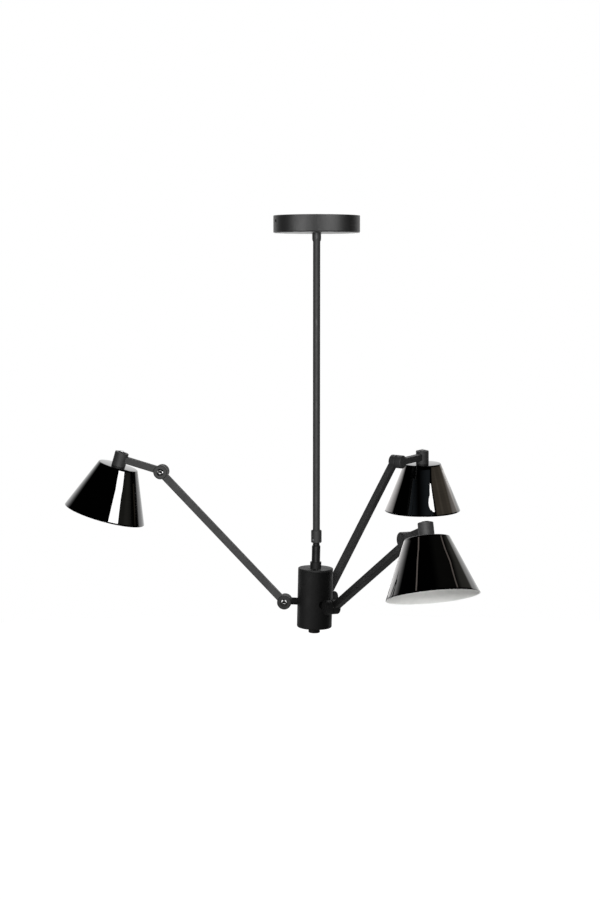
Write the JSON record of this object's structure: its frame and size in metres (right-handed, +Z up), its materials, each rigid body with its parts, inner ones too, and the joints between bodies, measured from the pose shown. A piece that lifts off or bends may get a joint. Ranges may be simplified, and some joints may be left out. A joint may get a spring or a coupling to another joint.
{
  "type": "three-arm pendant light",
  "caption": "Matt black ceiling pendant with a rod, a ball swivel and a hub whose jointed arms carry conical black chrome shades that tilt on friction knuckles.",
  "frame": {"origin": "in the ceiling plane, on the axis of the down rod, midway between the two ceiling screw holes", "axes": "+Z up into the ceiling along the rod axis, +X to the right and +Y away from the viewer of the picture"},
  "size_m": [0.606, 0.6898, 0.6099],
  "materials": {
    "black_powder_coat": "fine-textured matt powder coat",
    "black_chrome_shade": "polished black chrome outside, satin white paint inside",
    "black_chrome_screw": "polished black nickel",
    "zinc_steel": "zinc plated",
    "brass_thread": "plain turned",
    "nylon": "moulded nylon",
    "ceramic_white": "unglazed",
    "frosted_glass": "frosted"
  },
  "bodies": {
    "ceiling_set": {"canopy": "black_powder_coat", "mounting_bracket": "zinc_steel", "canopy_side_screws": "black_chrome_screw", "terminal_block": "nylon", "canopy_nipple": "brass_thread", "canopy_nut": "brass_thread", "top_collar": "black_powder_coat", "down_rod": "black_powder_coat", "swivel_plug": "black_powder_coat", "swivel_cup": "black_powder_coat", "swivel_grub_screw": "black_chrome_screw"},
    "swivel_pad": {"swivel_seat": "nylon"},
    "hub": {"ball_stem": "black_powder_coat", "hub_collar": "black_powder_coat", "hub_top_cap": "black_powder_coat", "hub_nut": "zinc_steel", "hub_body": "black_powder_coat", "hub_finial": "black_powder_coat", "stub_nuts": "zinc_steel", "base_screws": "black_chrome_screw", "left_base_knuckle": "black_powder_coat", "rear_base_knuckle": "black_powder_coat", "front_base_knuckle": "black_powder_coat"},
    "left_arm": {"left_arm_bar": "black_powder_coat", "left_arm_lower_knuckle": "black_powder_coat", "left_arm_upper_knuckle": "black_powder_coat", "left_arm_washers": "nylon"},
    "left_head": {"left_elbow_screw": "black_chrome_screw", "left_forearm_knuckle": "black_powder_coat", "left_forearm": "black_powder_coat", "left_post": "black_powder_coat", "left_post_screw": "black_chrome_screw", "left_shade": "black_chrome_shade", "left_lampholder": "ceramic_white", "left_bulb": "frosted_glass"},
    "rear_arm": {"rear_arm_bar": "black_powder_coat", "rear_arm_lower_knuckle": "black_powder_coat", "rear_arm_upper_knuckle": "black_powder_coat", "rear_arm_washers": "nylon"},
    "rear_head": {"rear_elbow_screw": "black_chrome_screw", "rear_forearm_knuckle": "black_powder_coat", "rear_forearm": "black_powder_coat", "rear_post": "black_powder_coat", "rear_post_screw": "black_chrome_screw", "rear_shade": "black_chrome_shade", "rear_lampholder": "ceramic_white", "rear_bulb": "frosted_glass"},
    "front_arm": {"front_arm_bar": "black_powder_coat", "front_arm_lower_knuckle": "black_powder_coat", "front_arm_upper_knuckle": "black_powder_coat", "front_arm_washers": "nylon"},
    "front_head": {"front_elbow_screw": "black_chrome_screw", "front_forearm_knuckle": "black_powder_coat", "front_forearm": "black_powder_coat", "front_post": "black_powder_coat", "front_post_screw": "black_chrome_screw", "front_shade": "black_chrome_shade", "front_lampholder": "ceramic_white", "front_bulb": "frosted_glass"}
  },
  "joints": [
    {"name": "swivel_spin", "type": "hinge", "parent": "ceiling_set", "child": "swivel_pad", "pos_m": [0, 0, -0.469], "axis": [0, 0, 1], "range_deg": [-170, 170]},
    {"name": "swivel_tilt", "type": "hinge", "parent": "swivel_pad", "child": "hub", "pos_m": [0, 0, -0.469], "axis": [0, 1, 0], "range_deg": [-9.27, 6.73]},
    {"name": "left_arm_hinge", "type": "hinge", "parent": "hub", "child": "left_arm", "pos_m": [-0.04588, 0.00437, -0.56311], "axis": [0.0993, 0.9951, -0.0022], "range_deg": [-104.9, 25.1]},
    {"name": "left_elbow_hinge", "type": "hinge", "parent": "left_arm", "child": "left_head", "pos_m": [-0.22751, 0.02292, -0.37297], "axis": [0.0993, 0.9951, -0.0022], "range_deg": [-45.2, 74.8]},
    {"name": "rear_arm_hinge", "type": "hinge", "parent": "hub", "child": "rear_arm", "pos_m": [0.02356, 0.03573, -0.56465], "axis": [0.8119, -0.5835, -0.018], "range_deg": [-106.3, 23.7]},
    {"name": "rear_elbow_hinge", "type": "hinge", "parent": "rear_arm", "child": "rear_head", "pos_m": [0.13403, 0.18363, -0.37647], "axis": [0.8119, -0.5835, -0.018], "range_deg": [-32, 88]},
    {"name": "front_arm_hinge", "type": "hinge", "parent": "hub", "child": "front_arm", "pos_m": [0.01599, -0.0401, -0.56448], "axis": [-0.9112, -0.4115, 0.0202], "range_deg": [-90.4, 39.6]},
    {"name": "front_elbow_hinge", "type": "hinge", "parent": "front_arm", "child": "front_head", "pos_m": [0.11249, -0.24732, -0.43319], "axis": [-0.9112, -0.4115, 0.0202], "range_deg": [-64.4, 55.6]}
  ]
}
